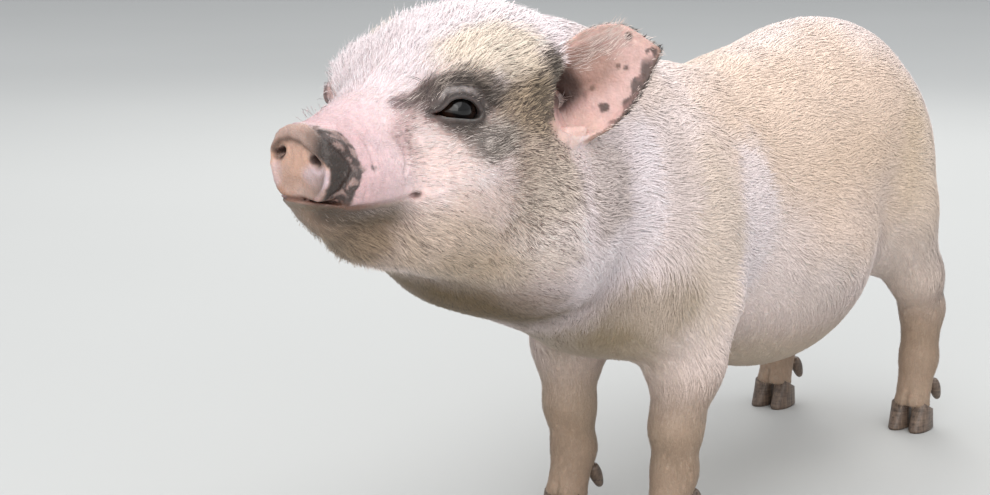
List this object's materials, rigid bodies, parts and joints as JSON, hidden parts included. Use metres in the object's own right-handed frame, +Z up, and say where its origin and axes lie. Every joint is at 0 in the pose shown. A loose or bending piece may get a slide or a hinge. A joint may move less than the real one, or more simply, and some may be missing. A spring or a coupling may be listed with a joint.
{
  "type": "miniature pig piglet",
  "caption": "Life-size still model of a young miniature pig standing on its four feet, with a flat snout disc, spread ears and a hanging tail.",
  "frame": {"origin": "centre of the outline's footprint, on the floor that the claws stand on", "axes": "+Z up, -Y the way the pig faces, +X its left side"},
  "size_m": [0.1466, 0.5754, 0.2839],
  "materials": {
    "coat": "short bristly hair, white, sandy and grey over pink skin",
    "ear_skin": "thin pink skin with grey spots and sparse hair",
    "snout_skin": "bare moist pink skin with a charcoal rim",
    "eye": "wet, dark brown",
    "horn": "dull grey-brown horn"
  },
  "bodies": {
    "root": {"head": "coat", "snout_disc": "snout_skin", "neck": "coat", "torso": "coat", "tail": "coat", "ear_left": "ear_skin", "eye_left": "eye", "foreleg_left": "coat", "hindleg_left": "coat", "claw_fore_left_outer": "horn", "dewclaw_fore_left_outer": "horn", "claw_fore_left_inner": "horn", "dewclaw_fore_left_inner": "horn", "claw_hind_left_outer": "horn", "dewclaw_hind_left_outer": "horn", "claw_hind_left_inner": "horn", "dewclaw_hind_left_inner": "horn", "ear_right": "ear_skin", "eye_right": "eye", "foreleg_right": "coat", "hindleg_right": "coat", "claw_fore_right_outer": "horn", "dewclaw_fore_right_outer": "horn", "claw_fore_right_inner": "horn", "dewclaw_fore_right_inner": "horn", "claw_hind_right_outer": "horn", "dewclaw_hind_right_outer": "horn", "claw_hind_right_inner": "horn", "dewclaw_hind_right_inner": "horn"}
  },
  "joints": []
}
